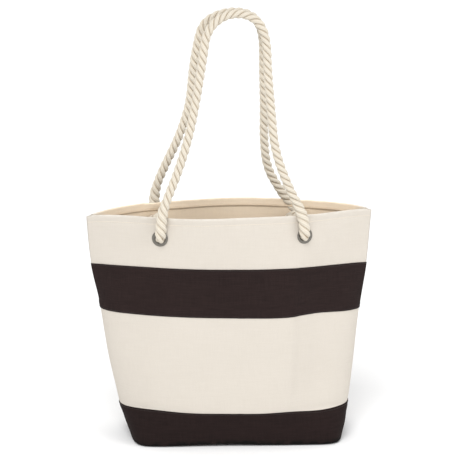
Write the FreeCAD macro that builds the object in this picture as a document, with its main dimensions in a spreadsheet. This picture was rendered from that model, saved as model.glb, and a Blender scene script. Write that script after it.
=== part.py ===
import FreeCAD, Part
import math
import os
import Sketcher
from FreeCAD import Placement, Rotation, Vector

# A canvas beach bag: an open tote with a boxed bottom, sewn from dark and
# natural strips, with a rope handle on the front wall and one on the back.
# Origin on the floor under the middle of the mouth, +Z up, +X along the mouth,
# front wall at -Y. Millimetres.

doc = FreeCAD.newDocument("BeachBag")
sheet = doc.addObject("Spreadsheet::Sheet", "Sizes")

SIZES = {
    # walls
    "wall_height": 382,
    "mouth_length": 466,
    "mouth_depth": 137,
    "base_length": 345,
    "base_depth": 144,
    "base_offset": 17,
    "canvas": 1.6,
    "ply_gap": 0.05,
    # sewn strips: seam heights above the floor, and how far each seam is from the
    # length of the base to the length of the mouth
    "band_top": 56,
    "band_top_share": 0.2727,
    "stripe_bottom": 217,
    "stripe_bottom_share": 0.6612,
    "stripe_top": 297,
    "stripe_top_share": 0.876,
    "hem_depth": 14.5,
    "hem_end_gap": 16,
    "seam_allowance": 12,
    "seam_thick": 2,
    "seam_gap": 0.15,
    "corner_seam_length": 96,
    "corner_seam_gap": 5,
    # eyelets
    "eyelet_spacing": 233,
    "eyelet_drop": 35,
    "eyelet_flange": 26,
    "eyelet_bore": 15,
    "eyelet_barrel_wall": 0.8,
    "eyelet_crown": 1.7,
    "eyelet_lip": 1.2,
    "eyelet_hole_gap": 0.2,
    "eyelet_seat": 0.25,
    "washer_outer": 25,
    "washer_thick": 0.8,
    "washer_gap": 0.3,
    # rope
    "rope_diameter": 14,
    "rope_gap": 0.7,
    "stem_proud": 0.3,
    "knot_width": 38,
    "knot_thick": 30,
    "tail_length": 44,
    "whipping_thick": 0.6,
    "whipping_length": 10,
    "whipping_end": 5,
}
for row, (name, value) in enumerate(SIZES.items(), start=1):
    sheet.set(f"A{row}", name)
    sheet.set(f"B{row}", str(value))
    sheet.setAlias(f"B{row}", name)
doc.recompute()


def size(name):
    return float(sheet.get(name))


height = size("wall_height")
canvas = size("canvas")
rope_radius = size("rope_diameter") / 2
SIDES = {"front": -1, "back": 1}
ENDS = {"left": -1, "right": 1}

# ---------------------------------------------------------------- wall shape

def seam_half(share):
    return (size("base_length") * (1 - share) + size("mouth_length") * share) / 2


# Height, half length and two outline powers at the floor, the strip seams and the mouth:
# a rounded rectangle at the floor turns into an oval, and into a pointed lens at the mouth.
SEAMS = [
    (0, size("base_length") / 2, 16, 0.28),
    (size("band_top"), seam_half(size("band_top_share")), 2.8, 0.5),
    (size("stripe_bottom"), seam_half(size("stripe_bottom_share")), 2.6, 0.62),
    (size("stripe_top"), seam_half(size("stripe_top_share")), 2.15, 0.9),
    (height, size("mouth_length") / 2, 2, 1),
]


def half_length(z):
    """Smooth curve through the seams' half lengths."""
    last = len(SEAMS) - 1
    slopes = []
    for i in range(len(SEAMS)):
        low = SEAMS[max(i - 1, 0)]
        high = SEAMS[min(i + 1, last)]
        slopes.append((high[1] - low[1]) / (high[0] - low[0]))
    i = next((k for k in range(last) if z <= SEAMS[k + 1][0]), last - 1)
    (z0, w0), (z1, w1) = SEAMS[i][:2], SEAMS[i + 1][:2]
    span = z1 - z0
    t = (z - z0) / span
    return (
        w0 * (2 * t**3 - 3 * t**2 + 1)
        + slopes[i] * span * (t**3 - 2 * t**2 + t)
        + w1 * (3 * t**2 - 2 * t**3)
        + slopes[i + 1] * span * (t**3 - t**2)
    )


def half_depth(z):
    share = z / height
    return (size("base_depth") * (1 - share) + size("mouth_depth") * share) / 2


def outline_powers(z):
    """The outline's two powers, in even steps from one seam to the next."""
    i = next((k for k in range(len(SEAMS) - 1) if z <= SEAMS[k + 1][0]), len(SEAMS) - 2)
    low, high = SEAMS[i], SEAMS[i + 1]
    t = min((z - low[0]) / (high[0] - low[0]), 1)
    return low[2] + (high[2] - low[2]) * t, low[3] + (high[3] - low[3]) * t


def centre_x(z):
    """The bottom stands a little to one side of the mouth."""
    share = z / height
    return size("base_offset") * (1 - share) ** 2 * (1 + share)


def corner_stretch(z):
    """How much wider a ply measures along X where the walls meet at a sharp corner."""
    return 1 + (z / height) ** 2


def outline_y(x, z, inset=0):
    """Distance of a wall surface from the middle plane, inset inwards by some cloth."""
    a, b = outline_powers(z)
    half = half_length(z) - inset * corner_stretch(z)
    u = min(abs(x - centre_x(z)) / half, 1)
    return (half_depth(z) - inset) * (1 - u**a) ** b


def outline_points(z, side, inset, end_gap=0, count=36):
    """Points at even spacing along one wall, from the left end to the right end."""
    half = half_length(z) - inset * corner_stretch(z)
    fine = 600
    dense = []
    for k in range(fine + 1):
        u = math.sin(math.pi * (k / fine - 0.5))
        x = centre_x(z) + half * u
        dense.append((x, outline_y(x, z, inset)))
    dense[0] = (centre_x(z) - half, 0)
    dense[-1] = (centre_x(z) + half, 0)
    along = [0]
    for p, q in zip(dense, dense[1:]):
        along.append(along[-1] + math.dist(p, q))
    points = []
    k = 0
    for i in range(count + 1):
        target = end_gap + (along[-1] - 2 * end_gap) * i / count
        while k < fine - 1 and along[k + 1] < target:
            k += 1
        t = (target - along[k]) / (along[k + 1] - along[k])
        x = dense[k][0] * (1 - t) + dense[k + 1][0] * t
        y = dense[k][1] * (1 - t) + dense[k + 1][1] * t
        points.append(Vector(x, side * y, z))
    return points


def curve_through(points):
    curve = Part.BSplineCurve()
    curve.interpolate(points)
    return curve.toShape()


def ply_wire(z, side, outer_inset, inner_inset, end_gap=0):
    """Closed section of one ply of cloth at one height."""
    outer = outline_points(z, side, outer_inset, end_gap)
    inner = outline_points(z, side, inner_inset, end_gap)
    return Part.Wire([
        curve_through(outer),
        Part.LineSegment(outer[-1], inner[-1]).toShape(),
        curve_through(list(reversed(inner))),
        Part.LineSegment(inner[0], outer[0]).toShape(),
    ])


def ply(side, low, high, outer_inset, inner_inset, end_gap=0, levels=4):
    heights = [low + (high - low) * i / (levels - 1) for i in range(levels)]
    wires = [ply_wire(z, side, outer_inset, inner_inset, end_gap) for z in heights]
    return Part.makeLoft(wires, True, False)


def shape_object(label, shape):
    feature = doc.addObject("Part::Feature", label)
    feature.Label = label
    feature.Shape = shape
    feature.Placement = Placement()
    return feature


subparts = []

# ------------------------------------------------------------- eyelet places


def eyelet_frame(side, end):
    """Placement on the wall's outer face, with local +Z out of the bag."""
    x = end * size("eyelet_spacing") / 2
    z = height - size("eyelet_drop")
    step = 0.5
    slope_x = (outline_y(x + step, z) - outline_y(x - step, z)) / (2 * step)
    slope_z = (outline_y(x, z + step) - outline_y(x, z - step)) / (2 * step)
    outward = Vector(-slope_x, 1, -slope_z).normalize()
    outward.y *= side
    place = Vector(x, side * outline_y(x, z), z)
    return Placement(place, Rotation(Vector(1, 0, 0), Vector(0, 0, 1), outward, "ZYX"))


EYELETS = {
    (side, end): eyelet_frame(SIDES[side], ENDS[end]) for side in SIDES for end in ENDS
}
barrel_radius = size("eyelet_bore") / 2 + size("eyelet_barrel_wall")
hinge_reach = size("eyelet_crown") + size("rope_gap") + rope_radius

# -------------------------------------------------------------------- cloth

floor_top = canvas


def bottom_panel():
    front = outline_points(0, -1, 0)
    back = list(reversed(outline_points(0, 1, 0)))
    wire = Part.Wire([curve_through(front), curve_through(back)])
    return Part.Face(wire).extrude(Vector(0, 0, floor_top))


def hole_cutter(side, end):
    cutter = doc.addObject("Part::Cylinder", f"{side}_{end}_hole")
    cutter.setExpression(
        "Radius", "Sizes.eyelet_bore / 2 + Sizes.eyelet_barrel_wall + Sizes.eyelet_hole_gap"
    )
    cutter.setExpression("Height", "Sizes.canvas * 8")
    shift = Placement(Vector(0, 0, -canvas * 4), Rotation())
    cutter.Placement = EYELETS[side, end].multiply(shift)
    return cutter


subparts.append(shape_object("bottom_panel", bottom_panel()))
for side, sign in SIDES.items():
    strips = {
        "base_band": (floor_top, size("band_top")),
        "middle_panel": (size("band_top"), size("stripe_bottom")),
        "upper_stripe": (size("stripe_bottom"), size("stripe_top")),
        "top_panel": (size("stripe_top"), height),
    }
    for strip, (low, high) in strips.items():
        label = f"{side}_{strip}"
        cloth = ply(sign, low, high, 0, canvas)
        if strip != "top_panel":
            subparts.append(shape_object(label, cloth))
            continue
        blank = shape_object(f"{label}_blank", cloth)
        for end in ENDS:
            cut = doc.addObject("Part::Cut", f"{label}_{end}_cut")
            cut.Base = blank
            cut.Tool = hole_cutter(side, end)
            blank = cut
        blank.Label = label
        subparts.append(blank)
    hem_outer = canvas + size("ply_gap")
    hem = ply(
        sign, height - size("hem_depth"), height, hem_outer, hem_outer + canvas,
        end_gap=size("hem_end_gap"), levels=3,
    )
    subparts.append(shape_object(f"{side}_hem_facing", hem))


def side_seam_wire(z, end):
    """Seam allowance that stands in from the corner, with a tip that fits the corner."""
    a, b = outline_powers(z)
    inset = canvas + size("seam_gap")
    half = half_length(z) - inset * corner_stretch(z)
    thick = size("seam_thick") / 2
    shoulder = half * (1 - (thick / (half_depth(z) - inset)) ** (1 / b)) ** (1 / a)
    tail = half - size("seam_allowance")
    outline = [(half, 0), (shoulder - 0.02, thick), (tail, thick)]
    outline += [(tail, -thick), (shoulder - 0.02, -thick), (half, 0)]
    return Part.makePolygon([Vector(centre_x(z) + end * x, y, z) for x, y in outline])


def side_seam(end):
    ends = [floor_top + size("seam_thick") + 1] + [seam[0] for seam in SEAMS[1:]]
    heights = [ends[0]]
    for low, high in zip(ends, ends[1:]):
        heights += [low + (high - low) * share for share in (1 / 3, 2 / 3, 1)]
    return Part.makeLoft([side_seam_wire(z, end) for z in heights], True, False)


for end, sign in ENDS.items():
    subparts.append(shape_object(f"{end}_side_seam", side_seam(sign)))
    corner = doc.addObject("Part::Box", f"{end}_corner_seam")
    corner.setExpression("Length", "Sizes.seam_allowance - 2")
    corner.setExpression("Width", "Sizes.corner_seam_length")
    corner.setExpression("Height", "Sizes.seam_thick")
    inner_end = size("base_length") / 2 - canvas - size("corner_seam_gap")
    corner_x = inner_end - (size("seam_allowance") - 2) if sign > 0 else -inner_end
    corner.Placement = Placement(
        Vector(centre_x(0) + corner_x, -size("corner_seam_length") / 2, floor_top), Rotation()
    )
    subparts.append(corner)

# -------------------------------------------------------- eyelets and washers


def plane_of(body, role):
    return next(f for f in body.Origin.OriginFeatures if f.Role == role)


def turned_body(label, outline, placement):
    """Body turned about its own Z axis from a closed outline of (radius, height) points."""
    body = doc.addObject("PartDesign::Body", label)
    sketch = body.newObject("Sketcher::SketchObject", f"{label}_outline")
    sketch.AttachmentSupport = [(plane_of(body, "XZ_Plane"), "")]
    sketch.MapMode = "FlatFace"
    ends = outline[1:] + outline[:1]
    for (r0, z0), (r1, z1) in zip(outline, ends):
        sketch.addGeometry(
            Part.LineSegment(Vector(r0, z0, 0), Vector(r1, z1, 0)), False
        )
    for i in range(len(outline)):
        following = (i + 1) % len(outline)
        sketch.addConstraint(Sketcher.Constraint("Coincident", i, 2, following, 1))
    turned = body.newObject("PartDesign::Revolution", f"{label}_turned")
    turned.Profile = sketch
    turned.ReferenceAxis = (sketch, ["V_Axis"])
    turned.Angle = 360
    body.Tip = turned
    body.Label = label
    body.Placement = placement
    return body


def eyelet_outline():
    """Crowned flange outside the wall, barrel through it, lip rolled over the washer."""
    bore = size("eyelet_bore") / 2
    rim = size("eyelet_flange") / 2
    crown = size("eyelet_crown")
    seat = size("eyelet_seat")
    washer_back = canvas + size("washer_gap") + size("washer_thick")
    lip = washer_back + size("eyelet_lip")
    middle = (bore + rim) / 2
    lip_rim = barrel_radius + 2
    return [
        (bore, 0.5 * crown), (bore + 0.25 * (rim - bore), 0.9 * crown), (middle, crown),
        (rim - 0.2 * (rim - bore), 0.85 * crown), (rim, seat + 0.3), (rim, seat),
        (barrel_radius, seat), (barrel_radius, -washer_back), (lip_rim, -washer_back),
        (lip_rim, -washer_back - 0.6), (barrel_radius + 0.6, -lip), (bore, -lip + 0.3),
    ]


def washer_outline():
    inner = barrel_radius + size("eyelet_hole_gap")
    outer = size("washer_outer") / 2
    top = -canvas - size("washer_gap")
    return [
        (inner, top), (outer, top),
        (outer, top - size("washer_thick")), (inner, top - size("washer_thick")),
    ]


for (side, end), place in EYELETS.items():
    subparts.append(turned_body(f"{side}_{end}_eyelet", eyelet_outline(), place))
    subparts.append(turned_body(f"{side}_{end}_washer", washer_outline(), place))

# -------------------------------------------------------------- stopper knots

knot_radius = size("knot_width") / 2
knot_half = size("knot_thick") / 2
lip_depth = canvas + size("washer_gap") + size("washer_thick") + size("eyelet_lip")
# the knot's round face seats on the edge of the eyelet's bore
knot_seat = knot_half * math.sqrt(1 - (size("eyelet_bore") / 2 / knot_radius) ** 2)
knot_depth = lip_depth + knot_seat


def knot_objects(side, end):
    label = f"{side}_{end}"
    place = EYELETS[side, end]
    core = doc.addObject("Part::Ellipsoid", f"{label}_knot_core")
    core.setExpression("Radius1", "Sizes.knot_thick / 2")
    core.setExpression("Radius2", "Sizes.knot_width / 2")
    core.setExpression("Radius3", "Sizes.knot_width / 2")
    core.Placement = place.multiply(Placement(Vector(0, 0, -knot_depth), Rotation()))
    centre = core.Placement.Base
    stem = doc.addObject("Part::Cylinder", f"{label}_knot_stem")
    stem.setExpression("Radius", "Sizes.rope_diameter / 2")
    stem.Height = knot_depth + size("eyelet_crown") + size("stem_proud")
    stem.Placement = core.Placement
    tail = doc.addObject("Part::Cylinder", f"{label}_knot_tail")
    tail.setExpression("Radius", "Sizes.rope_diameter / 2")
    tail.setExpression("Height", "Sizes.tail_length")
    tail.Placement = Placement(centre - Vector(0, 0, size("tail_length")), Rotation())
    knot = doc.addObject("Part::MultiFuse", f"{label}_knot_joined")
    knot.Shapes = [core, stem, tail]
    knot.Label = f"{label}_knot"
    subparts.append(knot)

    tube = doc.addObject("Part::Cylinder", f"{label}_whipping_tube")
    tube.setExpression("Radius", "Sizes.rope_diameter / 2 + Sizes.whipping_thick")
    tube.setExpression("Height", "Sizes.whipping_length")
    rope = doc.addObject("Part::Cylinder", f"{label}_whipping_bore")
    rope.setExpression("Radius", "Sizes.rope_diameter / 2")
    rope.setExpression("Height", "Sizes.whipping_length")
    lift = centre - Vector(0, 0, size("tail_length") - size("whipping_end"))
    for piece in (tube, rope):
        piece.Placement = Placement(lift, Rotation())
    whipping = doc.addObject("Part::Cut", f"{label}_whipping_cut")
    whipping.Base = tube
    whipping.Tool = rope
    whipping.Label = f"{label}_whipping"
    subparts.append(whipping)


for side in SIDES:
    for end in ENDS:
        knot_objects(side, end)

# --------------------------------------------------------------- rope handles

# Each rope passes through its two eyelets to the knots. The stretch outside the
# bag turns about the line through the eyelets' mouths, where it starts in a ball.
# Its route between those two points, chosen by hand: x for eyelets 233 apart, y for a
# mouth 137 deep, and height above the mouth.
# The front rope stands up and leans back on the front wall's edge; the back rope
# leans the other way, and the two loops meet above the middle of the bag.
FRONT_ROUTE = [
    (-116, -62.0, -10), (-107, -59.5, 20), (-88, -50.5, 72), (-69, -41, 132),
    (-57, -29.5, 198), (-50, -20.5, 252), (-42, -13.5, 292), (-20, -9.2, 317),
    (13, -8.2, 323.5), (42, -9.8, 311), (57, -15, 282), (58.5, -24, 228),
    (61, -34.5, 166), (70, -44.5, 108), (88, -53, 55), (107, -59.5, 16), (116, -62.0, -10),
]
BACK_ROUTE = [
    (-117, 62.0, -8), (-113, 59.5, 22), (-99, 52, 60), (-78, 43.5, 110),
    (-62, 34, 166), (-60, 25.5, 218), (-55, 17.5, 268), (-44, 11.5, 301), (-19, 9, 319),
    (14, 8.2, 323), (42, 9.8, 310), (56, 15.5, 281), (58.5, 25, 226), (59, 36, 163),
    (62, 45.5, 105), (72, 53.5, 56), (94, 60, 19), (111, 62.5, -8),
]


def rope_path(points):
    """Straight runs joined by tangent arcs, as wide as the runs beside them allow."""
    radii = []
    corners = []
    for before, corner, after in zip(points, points[1:], points[2:]):
        arriving = (corner - before)
        leaving = (after - corner)
        turn = arriving.getAngle(leaving)
        shorter = min(arriving.Length, leaving.Length)
        cut = 0.45 * shorter
        radius = cut / math.tan(turn / 2)
        radii.append(radius)
        start = corner - arriving.normalize() * cut
        finish = corner + leaving.normalize() * cut
        bisector = (start + finish) * 0.5 - corner
        centre_away = math.hypot(radius, cut)
        middle = corner + bisector.normalize() * (centre_away - radius)
        corners.append((start, middle, finish))
    edges = []
    at = points[0]
    for start, middle, finish in corners:
        edges.append(Part.LineSegment(at, start).toShape())
        edges.append(Part.Arc(start, middle, finish).toShape())
        at = finish
    edges.append(Part.LineSegment(at, points[-1]).toShape())
    return Part.Wire(edges), radii


def rope_handle(side, route):
    hinges = [
        EYELETS[side, end].multVec(Vector(0, 0, hinge_reach)) for end in ("left", "right")
    ]
    wide = size("eyelet_spacing") / 233
    deep = size("mouth_depth") / 137
    points = [Vector(x * wide, y * deep, z + height) for x, y, z in route]
    points = [hinges[0]] + points + [hinges[1]]
    path, radii = rope_path(points)
    first = path.OrderedEdges[0]
    section = Part.Wire(Part.Circle(
        first.valueAt(first.FirstParameter), first.tangentAt(first.FirstParameter), rope_radius
    ).toShape())
    tube = path.makePipeShell([section], True, False)
    expected = math.pi * rope_radius**2 * path.Length
    print(f"{side} handle: {path.Length:.1f} mm between its hinges,"
          f" tube volume {tube.Volume / expected:.4f} of section times length")
    print("  radii", [round(r) for r in radii])
    runs = [math.dist(p, q) for p, q in zip(points, points[1:])]
    print("  runs ", [round(r) for r in runs])
    rope = tube
    for hinge in hinges:
        rope = rope.fuse(Part.makeSphere(rope_radius, hinge))
    return rope.removeSplitter(), hinges


for side, route in (("front", FRONT_ROUTE), ("back", BACK_ROUTE)):
    rope, hinges = rope_handle(side, route)
    subparts.append(shape_object(f"{side}_handle_rope", rope))
    print(f"{side} hinge points", [tuple(round(c, 2) for c in h) for h in hinges])

# ----------------------------------------------------------- check and export

doc.recompute()
faults = [o.Name for o in doc.Objects if {"Invalid", "Error"} & set(o.State)]
for part in subparts:
    if part.Shape.isNull() or not part.Shape.isValid():
        faults.append(part.Label)
if faults:
    raise RuntimeError(f"failed objects: {faults}")

os.makedirs("parts", exist_ok=True)
for part in subparts:
    part.Shape.exportStep(f"parts/{part.Label}.step")
    box = part.Shape.BoundBox
    print(f"{part.Label:24s} {len(part.Shape.Solids)} solid {part.Shape.Volume:10.0f} mm3"
          f"  x {box.XMin:7.1f} {box.XMax:7.1f}  y {box.YMin:7.1f} {box.YMax:7.1f}"
          f"  z {box.ZMin:6.1f} {box.ZMax:6.1f}")
print(len(subparts), "nodes")
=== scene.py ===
import math
import bpy
import numpy as np
from mathutils import Matrix, Vector, noise


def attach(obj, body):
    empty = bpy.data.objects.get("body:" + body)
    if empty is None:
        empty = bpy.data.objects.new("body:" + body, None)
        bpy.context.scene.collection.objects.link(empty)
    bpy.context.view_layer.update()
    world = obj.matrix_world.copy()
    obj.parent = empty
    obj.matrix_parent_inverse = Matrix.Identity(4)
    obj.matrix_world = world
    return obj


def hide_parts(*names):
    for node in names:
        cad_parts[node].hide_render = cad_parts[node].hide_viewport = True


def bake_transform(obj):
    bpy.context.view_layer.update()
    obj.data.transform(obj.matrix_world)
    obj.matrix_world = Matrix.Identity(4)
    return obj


# A canvas beach bag with rope handles. Metres, +Z up, +X along the mouth, front wall at -Y.
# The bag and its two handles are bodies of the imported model; every piece here rides on one.

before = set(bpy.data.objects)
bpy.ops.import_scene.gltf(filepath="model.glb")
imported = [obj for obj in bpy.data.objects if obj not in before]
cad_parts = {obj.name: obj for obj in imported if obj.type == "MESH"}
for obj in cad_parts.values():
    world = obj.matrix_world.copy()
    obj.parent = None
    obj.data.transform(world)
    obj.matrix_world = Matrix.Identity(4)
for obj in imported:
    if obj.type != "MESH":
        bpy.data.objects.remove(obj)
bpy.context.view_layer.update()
scene = bpy.context.scene
print("frame loaded:", len(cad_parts), "nodes")

# camera, light and floor

view = {
    "target": (-0.0012, 0.0, 0.348),
    "azimuth": -6.1,
    "elevation": 14.64,
    "roll": 1.25,
    "distance": 4.394,
    "lens": 213.6,
}


def placeCamera():
    around = math.radians(view["azimuth"])
    above = math.radians(view["elevation"])
    turn = math.radians(view["roll"])
    back = Vector((math.sin(around) * math.cos(above), -math.cos(around) * math.cos(above), math.sin(above)))
    right = Vector((math.cos(around), math.sin(around), 0))
    up = back.cross(right)
    tilted = right * math.cos(turn) + up * math.sin(turn)
    data = bpy.data.cameras.new("camera")
    data.lens = view["lens"]
    data.clip_end = 100
    cam = bpy.data.objects.new("camera", data)
    scene.collection.objects.link(cam)
    axes = Matrix((tilted, back.cross(tilted), back)).transposed().to_4x4()
    axes.translation = Vector(view["target"]) + back * view["distance"]
    cam.matrix_world = axes
    scene.camera = cam


studio = {
    "sky": 0.80,
    # a large lamp on the right: place, what it faces, side of its square, power in watts
    "rightSoftbox": ((2.6, -2.0, 1.5), (0, 0, 0.3), 1.6, 22),
    # a broad, even key light from above the camera: where it comes from, strength, softness
    "keyLight": ((-0.35, -1.0, 1.15), 1.55, 28),
}


def addLight(name, kind, power, place, aim):
    data = bpy.data.lights.new(name, kind)
    data.energy = power
    lamp = bpy.data.objects.new(name, data)
    lamp.location = place
    lamp.rotation_mode = "QUATERNION"
    lamp.rotation_quaternion = (Vector(aim) - Vector(place)).to_track_quat("-Z", "Y")
    scene.collection.objects.link(lamp)
    return data


def lightStudio():
    world = bpy.data.worlds.new("paleRoom")
    world.use_nodes = True
    sky = world.node_tree.nodes["Background"]
    sky.inputs["Color"].default_value = (1, 1, 1, 1)
    sky.inputs["Strength"].default_value = studio["sky"]
    scene.world = world
    place, aim, side, power = studio["rightSoftbox"]
    addLight("rightSoftbox", "AREA", power, place, aim).size = side
    place, power, softness = studio["keyLight"]
    addLight("keyLight", "SUN", power, place, (0, 0, 0)).angle = math.radians(softness)
    scene.view_settings.view_transform = "Standard"


placeCamera()
lightStudio()
print("camera and light placed")

# shader parts


def addSockets(tree, takes, gives):
    for label, kind, value in takes:
        socket = tree.interface.new_socket(label, in_out="INPUT", socket_type="NodeSocket" + kind)
        if value is not None:
            socket.default_value = value
    for label, kind in gives:
        tree.interface.new_socket(label, in_out="OUTPUT", socket_type="NodeSocket" + kind)
    return tree.nodes.new("NodeGroupInput"), tree.nodes.new("NodeGroupOutput")


def put(tree, source, node, socket):
    # source is a socket to link, or a plain value
    if isinstance(source, bpy.types.NodeSocket):
        tree.links.new(source, node.inputs[socket])
    elif source is not None:
        node.inputs[socket].default_value = source


def newNode(tree, kind, *sources, **settings):
    # sources fill the sockets in order, None leaves one as it is
    node = tree.nodes.new(kind)
    for label, value in settings.items():
        setattr(node, label, value)
    for i, source in enumerate(sources):
        put(tree, source, node, i)
    return node


def mathNode(tree, operation, *sources):
    return newNode(tree, "ShaderNodeMath", *sources, operation=operation).outputs[0]


def sums(tree):
    # add, take away and multiply in one tree
    def maker(operation):
        return lambda a, b: mathNode(tree, operation, a, b)

    return maker("ADD"), maker("SUBTRACT"), maker("MULTIPLY")


def remap(tree, value, low, high, toLow=0.0, toHigh=1.0):
    return newNode(tree, "ShaderNodeMapRange", value, low, high, toLow, toHigh).outputs[0]


def mixColours(tree, share, a, b):
    return newNode(tree, "ShaderNodeMix", share, *[None] * 5, a, b, data_type="RGBA").outputs[2]


def noiseNode(tree, vector, scale, detail=2.0, rough=0.5):
    node = newNode(tree, "ShaderNodeTexNoise", vector)
    for label, value in (("Scale", scale), ("Detail", detail), ("Roughness", rough)):
        put(tree, value, node, label)
    return node.outputs["Fac"]


def combine(tree, x, y, z=0.0):
    return newNode(tree, "ShaderNodeCombineXYZ", x, y, z).outputs[0]


def separate(tree, vector):
    return newNode(tree, "ShaderNodeSeparateXYZ", vector).outputs


def plainWeaveGroup():
    # warp and weft threads that pass over and under each other, with thick and thin places
    group = bpy.data.node_groups.new("plainWeave", "ShaderNodeTree")
    start, end = addSockets(
        group,
        [("Cloth", "Vector", None), ("Warp Pitch", "Float", 0.001), ("Weft Pitch", "Float", 0.001),
         ("Slub", "Float", 0.4)],
        [("Height", "Float"), ("Tone", "Float")],
    )
    add, take, times = sums(group)
    parts = separate(group, start.outputs["Cloth"])
    across = mathNode(group, "DIVIDE", parts[0], start.outputs["Warp Pitch"])
    along = mathNode(group, "DIVIDE", parts[1], start.outputs["Weft Pitch"])
    warp = mathNode(group, "SINE", times(across, math.pi))
    weft = mathNode(group, "SINE", times(along, math.pi))
    cell = times(warp, weft)
    pillow = mathNode(group, "POWER", mathNode(group, "ABSOLUTE", cell), 0.55)
    warpSlub = noiseNode(group, combine(group, across, times(along, 0.04)), 0.9)
    weftSlub = noiseNode(group, combine(group, times(across, 0.04), along, 7.0), 0.9)
    over = remap(group, cell, -0.25, 0.25)
    slub = add(times(over, warpSlub), times(take(1.0, over), weftSlub))
    thick = times(take(slub, 0.5), start.outputs["Slub"])
    group.links.new(add(pillow, thick), end.inputs["Height"])
    shade = add(times(pillow, 0.55), times(thick, 1.2))
    group.links.new(add(shade, times(over, 0.15)), end.inputs["Tone"])
    return group


def makeWearAndShadeGroup():
    # a colour that shows in patches where the cloth or rope rubs; on the base band's bottom edge the same mix
    # lays on painted shade
    group = bpy.data.node_groups.new("wornAndShadedEdges", "ShaderNodeTree")
    start, end = addSockets(
        group,
        [("Place", "Vector", None), ("Fresh", "Color", (1, 1, 1, 1)), ("Rubbed", "Color", (1, 1, 1, 1)),
         ("Rub", "Float", 0.0), ("Patch Size", "Float", 60.0), ("Mottle", "Float", 0.05)],
        [("Colour", "Color"), ("Mask", "Float")],
    )
    add, take, times = sums(group)
    given = start.outputs
    patches = noiseNode(group, given["Place"], given["Patch Size"], 4.0, 0.6)
    mask = times(given["Rub"], remap(group, patches, 0.35, 0.65))
    wearAndShadeHere = mixColours(group, mask, given["Fresh"], given["Rubbed"])
    cloud = noiseNode(group, given["Place"], 9.0, 3.0)
    tone = add(times(take(cloud, 0.5), given["Mottle"]), 1.0)
    scaled = newNode(group, "ShaderNodeVectorMath", wearAndShadeHere, None, None, tone, operation="SCALE")
    group.links.new(scaled.outputs[0], end.inputs["Colour"])
    group.links.new(mask, end.inputs["Mask"])
    return group


def yarnGroup():
    # fine twisted yarns along a strand or thread; the map runs once round and along in metres
    group = bpy.data.node_groups.new("twistedYarn", "ShaderNodeTree")
    start, end = addSockets(
        group,
        [("Strand", "Vector", None), ("Yarns", "Float", 8.0), ("Twist", "Float", 30.0),
         ("Fuzz", "Float", 0.3)],
        [("Height", "Float"), ("Tone", "Float")],
    )
    add, take, times = sums(group)
    parts = separate(group, start.outputs["Strand"])
    phase = add(times(parts[0], start.outputs["Yarns"]), times(parts[1], start.outputs["Twist"]))
    ridge = mathNode(group, "ABSOLUTE", mathNode(group, "SINE", times(phase, math.pi)))
    hairs = noiseNode(group, combine(group, times(phase, 5.0), times(parts[1], 260.0)), 1.0, 3.0, 0.6)
    fuzz = times(take(hairs, 0.5), start.outputs["Fuzz"])
    group.links.new(add(mathNode(group, "POWER", ridge, 0.6), fuzz), end.inputs["Height"])
    group.links.new(add(times(ridge, 0.6), fuzz), end.inputs["Tone"])
    return group


weaveGroup = plainWeaveGroup()
wearAndShadeGroup = makeWearAndShadeGroup()
twistGroup = yarnGroup()


def startMaterial(name, roughness, specular, sheen=0.0, metallic=0.0):
    material = bpy.data.materials.new(name)
    material.use_nodes = True
    tree = material.node_tree
    shader = tree.nodes["Principled BSDF"]
    for label, value in (("Roughness", roughness), ("Specular IOR Level", specular), ("Metallic", metallic),
                         ("Sheen Weight", sheen), ("Sheen Roughness", 0.6)):
        shader.inputs[label].default_value = value
    return material, tree, shader


def groupNode(tree, group, **values):
    node = newNode(tree, "ShaderNodeGroup", node_tree=group)
    for label, source in values.items():
        put(tree, source, node, label.replace("_", " "))
    return node.outputs


def bumpInto(tree, shader, height, distance, strength=1.0):
    bump = newNode(tree, "ShaderNodeBump")
    for label, source in (("Distance", distance), ("Strength", strength), ("Height", height)):
        put(tree, source, bump, label)
    tree.links.new(bump.outputs[0], shader.inputs["Normal"])


canvasPitch = {"Warp_Pitch": 0.00095, "Weft_Pitch": 0.00105}
canvasLooks = {
    "naturalCanvas": {
        "deep": (0.578, 0.528, 0.462, 1),
        "bright": (0.690, 0.644, 0.580, 1),
        "wornAndShadedColour": (0.76, 0.72, 0.65, 1),
        # the side that faces into the bag is painted brighter and warmer: painted light standing in for light
        # that shines through the thin cloth
        "inside": (1.38, 1.26, 1.10),
        "slub": 0.5,
        "mottle": 0.05,
        # seed specks in the unbleached cotton
        "flecks": 0.5,
        "fleck": (0.36, 0.24, 0.14, 1),
    },
    "darkCanvas": {
        "deep": (0.0092, 0.0056, 0.0053, 1),
        "bright": (0.0335, 0.0202, 0.0190, 1),
        "wornAndShadedColour": (0.046, 0.033, 0.031, 1),
        "slub": 0.8,
        "mottle": 0.25,
    },
    "baseCanvas": {
        "deep": (0.0066, 0.0038, 0.0035, 1),
        "bright": (0.0245, 0.0142, 0.0133, 1),
        # painted shade along the edge that the bag stands on, darker than the cloth
        "wornAndShadedColour": (0.0022, 0.0016, 0.0012, 1),
        "slub": 0.8,
        "mottle": 0.25,
    },
}


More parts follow.
